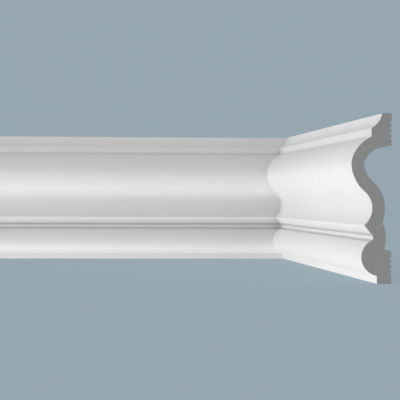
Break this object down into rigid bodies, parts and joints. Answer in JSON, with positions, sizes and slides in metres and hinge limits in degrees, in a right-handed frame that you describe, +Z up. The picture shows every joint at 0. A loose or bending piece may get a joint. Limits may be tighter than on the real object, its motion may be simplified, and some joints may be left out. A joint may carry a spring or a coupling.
{
  "type": "wall moulding",
  "caption": "Moulded wall rail with a bulged and coved face and a hollow, grooved back, mitred where it turns an inside corner.",
  "frame": {"origin": "where the two walls' faces meet, level with the rail's lower edge", "axes": "the long length's back lies on Y = 0 and runs to -X; the return's back lies on X = 0 and runs to -Y; +Z up"},
  "size_m": [2, 0.4, 0.092],
  "materials": {
    "primed_foam": "smooth white primer with a slight sheen"
  },
  "bodies": {
    "root": {"long_length": "primed_foam", "return_length": "primed_foam"}
  },
  "joints": []
}
